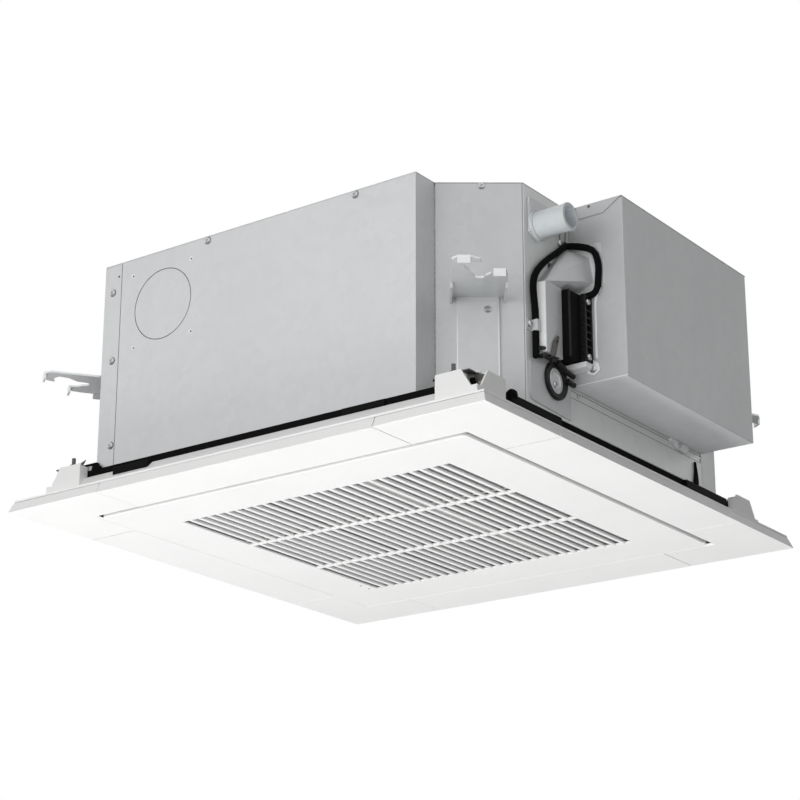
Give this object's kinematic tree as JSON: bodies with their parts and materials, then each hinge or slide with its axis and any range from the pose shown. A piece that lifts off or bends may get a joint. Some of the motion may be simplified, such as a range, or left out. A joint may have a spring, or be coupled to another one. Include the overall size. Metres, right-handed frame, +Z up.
{
  "type": "ceiling cassette air conditioner",
  "caption": "Square four-way ceiling cassette with a flat white panel, hinged intake grille, outlet flaps, sheet-steel casing, suspension hooks, drain socket and side electrical box",
  "frame": {"origin": "centre of the ceiling cut-out, on the plane of the ceiling underside, which is the upper face of the panel flange", "axes": "+Z up into the ceiling void; +X towards the electrical box and the drain socket; -Y towards the cover with the round knock-out"},
  "size_m": [0.728, 0.7, 0.32],
  "materials": {
    "panel_white": "satin moulded plastic",
    "slot_grey": "satin moulded plastic",
    "galvanised": "galvanised sheet with a faint spangle",
    "zinc": "bright zinc plate",
    "black_foam": "closed-cell foam",
    "black_plastic": "fine grained",
    "white_foam": "moulded foam",
    "fins": "thin fins",
    "copper": "drawn copper tube",
    "pale_plastic": "milky moulded plastic",
    "circuit_green": "lacquered board"
  },
  "bodies": {
    "unit": {"panel_frame": "panel_white", "flap_motor_front": "black_plastic", "flap_motor_right": "black_plastic", "flap_motor_back": "black_plastic", "flap_motor_left": "black_plastic", "corner_cover_near": "panel_white", "corner_cover_right": "panel_white", "corner_cover_far": "panel_white", "corner_cover_left": "panel_white", "panel_bolt_near": "zinc", "panel_bolt_right": "zinc", "panel_bolt_far": "zinc", "panel_bolt_left": "zinc", "panel_seal": "black_foam", "top_plate": "galvanised", "front_cover": "galvanised", "back_cover": "galvanised", "left_side_plate": "galvanised", "right_side_plate": "galvanised", "front_post": "galvanised", "side_post": "galvanised", "corner_plate_near": "galvanised", "corner_plate_right": "galvanised", "corner_plate_far": "galvanised", "corner_plate_left": "galvanised", "suspension_hook_near": "zinc", "suspension_hook_right": "zinc", "suspension_hook_far": "zinc", "suspension_hook_left": "zinc", "insulation_liner": "white_foam", "drain_pan": "white_foam", "bellmouth": "black_plastic", "fan_motor": "zinc", "motor_mount": "galvanised", "heat_exchanger": "fins", "gas_pipe": "copper", "liquid_pipe": "copper", "drain_pump": "black_plastic", "float_switch": "black_plastic", "drain_hose": "pale_plastic", "drain_socket": "pale_plastic", "electrical_box": "galvanised", "electrical_box_cover": "galvanised", "circuit_board": "circuit_green", "terminal_block": "black_plastic", "pipe_cover": "galvanised", "pipe_gasket": "black_foam", "wiring_entry": "black_plastic", "cable_clamp": "black_plastic"},
    "flap_front_body": {"flap_front": "panel_white"},
    "flap_right_body": {"flap_right": "panel_white"},
    "flap_back_body": {"flap_back": "panel_white"},
    "flap_left_body": {"flap_left": "panel_white"},
    "grille_body": {"intake_grille": "panel_white", "air_filter": "slot_grey"},
    "latch_left_body": {"grille_latch_left": "panel_white"},
    "latch_right_body": {"grille_latch_right": "panel_white"},
    "fan_body": {"fan_impeller": "black_plastic"},
    "pump_wheel_body": {"pump_impeller": "white_foam"},
    "float_body": {"float": "white_foam"}
  },
  "joints": [
    {"name": "flap_front_hinge", "type": "hinge", "parent": "unit", "child": "flap_front_body", "pos_m": [0, -0.281, -0.0065], "axis": [1, 0, 0], "range_deg": [0, 55]},
    {"name": "flap_right_hinge", "type": "hinge", "parent": "unit", "child": "flap_right_body", "pos_m": [0.281, 0, -0.0065], "axis": [0, 1, 0], "range_deg": [0, 55]},
    {"name": "flap_back_hinge", "type": "hinge", "parent": "unit", "child": "flap_back_body", "pos_m": [0, 0.281, -0.0065], "axis": [-1, 0, 0], "range_deg": [0, 55]},
    {"name": "flap_left_hinge", "type": "hinge", "parent": "unit", "child": "flap_left_body", "pos_m": [-0.281, 0, -0.0065], "axis": [0, -1, 0], "range_deg": [0, 55]},
    {"name": "grille_hinge", "type": "hinge", "parent": "unit", "child": "grille_body", "pos_m": [0, -0.2685, -0.014], "axis": [-1, 0, 0], "range_deg": [0, 85]},
    {"name": "latch_left_slide", "type": "slide", "parent": "grille_body", "child": "latch_left_body", "axis": [0, -1, 0], "range_m": [0, 0.008], "stiffness_N_per_m": 60},
    {"name": "latch_right_slide", "type": "slide", "parent": "grille_body", "child": "latch_right_body", "axis": [0, -1, 0], "range_m": [0, 0.008], "stiffness_N_per_m": 60},
    {"name": "fan_spin", "type": "hinge", "parent": "unit", "child": "fan_body", "pos_m": [0, 0, 0.195], "axis": [0, 0, 1], "continuous": true},
    {"name": "pump_spin", "type": "hinge", "parent": "unit", "child": "pump_wheel_body", "pos_m": [0.222, -0.176, 0.063], "axis": [0, 0, 1], "continuous": true},
    {"name": "float_slide", "type": "slide", "parent": "unit", "child": "float_body", "axis": [0, 0, 1], "range_m": [0, 0.012]}
  ]
}
